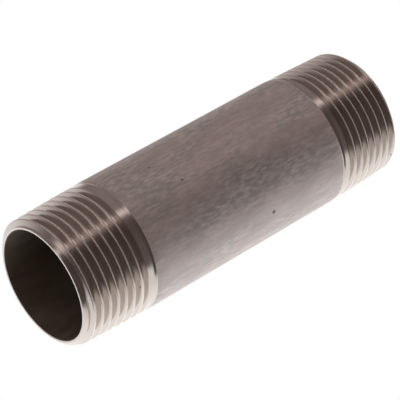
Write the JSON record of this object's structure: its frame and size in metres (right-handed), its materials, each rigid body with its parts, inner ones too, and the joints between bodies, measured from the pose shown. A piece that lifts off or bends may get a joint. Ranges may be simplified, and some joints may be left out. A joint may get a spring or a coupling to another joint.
{
  "type": "pipe nipple",
  "caption": "Straight steel pipe nipple: a plain tube with a male taper pipe thread cut on each end.",
  "frame": {"origin": "centre of the bottom end face, on the pipe's axis", "axes": "+Z along the pipe's axis, from the bottom end to the top end"},
  "size_m": [0.0337, 0.0336, 0.1],
  "materials": {
    "steel": "satin pickled stainless steel pipe, with machined threads"
  },
  "bodies": {
    "root": {"pipe_nipple": "steel"}
  },
  "joints": []
}
